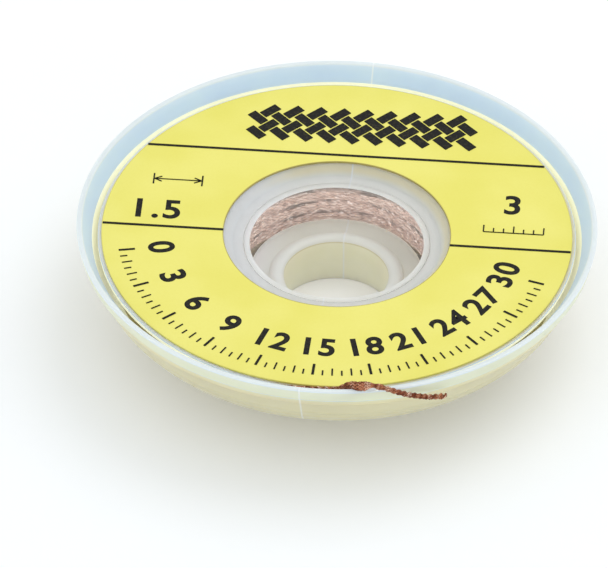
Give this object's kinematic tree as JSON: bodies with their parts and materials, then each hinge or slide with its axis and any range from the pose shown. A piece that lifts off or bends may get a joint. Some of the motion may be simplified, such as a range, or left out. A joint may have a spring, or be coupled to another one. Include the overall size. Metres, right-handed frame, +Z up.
{
  "type": "desoldering braid",
  "caption": "Copper desoldering braid wound on a flat translucent spool with a closed rim, a countersunk hub and a yellow label ring; the free end comes out over the lip.",
  "frame": {"origin": "centre of the boss's foot, on the surface that the spool stands on", "axes": "+Z up along the spool's axis, +Y towards the top of the label; the free end of the braid comes out on the -Y side"},
  "size_m": [0.064, 0.064, 0.0156],
  "materials": {
    "natural_plastic": "translucent milky white moulded plastic, satin",
    "yellow_label": "yellow printed paper with plain dark lines and numbers",
    "braided_copper": "braided copper wire, bright with darker gaps"
  },
  "bodies": {
    "root": {"spool_tray": "natural_plastic", "spool_lid": "natural_plastic", "label_ring": "yellow_label", "wound_braid": "braided_copper", "braid_tail": "braided_copper"}
  },
  "joints": []
}
